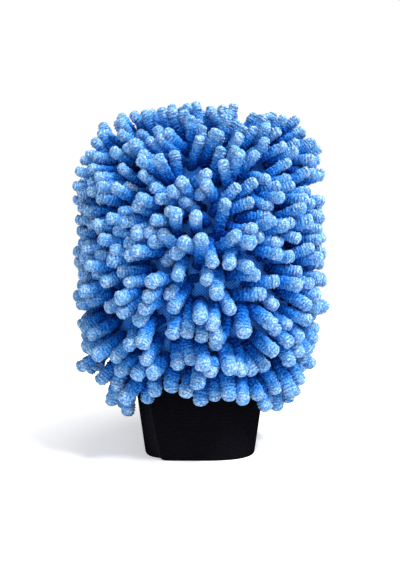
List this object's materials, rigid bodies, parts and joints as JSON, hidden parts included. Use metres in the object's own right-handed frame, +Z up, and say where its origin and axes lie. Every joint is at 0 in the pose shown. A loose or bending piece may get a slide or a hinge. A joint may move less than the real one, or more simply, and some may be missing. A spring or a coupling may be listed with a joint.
{
  "type": "wash mitt",
  "caption": "Hand wash mitt with a thick pile of chenille noodles on both sides, a fabric lining and a flared elastic cuff with lapped ends.",
  "frame": {"origin": "on the floor under the standing mitt, at the centre of its width and depth, where the cuff's lower rim rests", "axes": "+Z up from the cuff's open end to the finger end, X across the palm, front panel faces -Y"},
  "size_m": [0.2008, 0.1614, 0.2705],
  "materials": {
    "chenille": "fuzzy microfibre chenille",
    "pile_cloth": "knitted mesh",
    "lining": "plain knitted lining",
    "webbing": "matt ribbed elastic webbing",
    "thread": "polyester sewing thread"
  },
  "bodies": {
    "root": {"back_chenille_row_01": "chenille", "back_chenille_row_02": "chenille", "back_chenille_row_03": "chenille", "back_chenille_row_04": "chenille", "back_chenille_row_05": "chenille", "back_chenille_row_06": "chenille", "back_chenille_row_07": "chenille", "back_chenille_row_08": "chenille", "back_chenille_row_09": "chenille", "back_chenille_row_10": "chenille", "back_chenille_row_11": "chenille", "back_chenille_row_12": "chenille", "back_chenille_row_13": "chenille", "back_chenille_row_14": "chenille", "back_chenille_row_15": "chenille", "back_lining": "lining", "back_pile_cloth": "pile_cloth", "cuff_lap_thread": "webbing", "cuff_seam_thread": "thread", "elastic_cuff": "webbing", "front_chenille_row_01": "chenille", "front_chenille_row_02": "chenille", "front_chenille_row_03": "chenille", "front_chenille_row_04": "chenille", "front_chenille_row_05": "chenille", "front_chenille_row_06": "chenille", "front_chenille_row_07": "chenille", "front_chenille_row_08": "chenille", "front_chenille_row_09": "chenille", "front_chenille_row_10": "chenille", "front_chenille_row_11": "chenille", "front_chenille_row_12": "chenille", "front_chenille_row_13": "chenille", "front_chenille_row_14": "chenille", "front_chenille_row_15": "chenille", "front_lining": "lining", "front_pile_cloth": "pile_cloth", "lining_seam_thread": "lining", "side_seam_overlock": "thread"}
  },
  "joints": []
}
